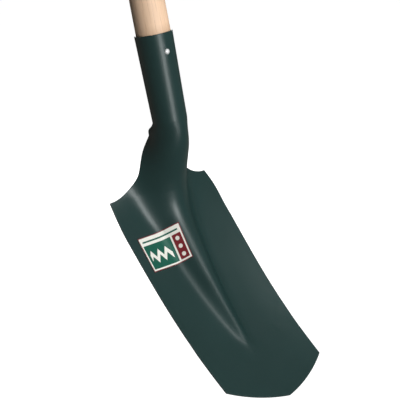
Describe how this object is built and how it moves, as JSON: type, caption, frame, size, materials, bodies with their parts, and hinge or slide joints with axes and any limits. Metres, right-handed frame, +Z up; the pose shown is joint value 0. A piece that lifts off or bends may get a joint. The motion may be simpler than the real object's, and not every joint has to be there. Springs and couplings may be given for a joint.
{
  "type": "trenching spade",
  "caption": "Long-handled trenching spade: a narrow, forward-curved steel blade with a front ridge, swan neck and open-seam socket, nailed to a straight ash handle.",
  "frame": {"origin": "on the handle's axis at the mouth of the socket", "axes": "+Z up the handle, -Y out of the blade's front face, X across the blade"},
  "size_m": [0.1494, 0.1498, 1.4112],
  "materials": {
    "painted_steel": "satin",
    "ash": "matt",
    "zinc": "satin",
    "label": "gloss"
  },
  "bodies": {
    "root": {"head": "painted_steel", "handle": "ash", "nail": "zinc", "label": "label"}
  },
  "joints": []
}
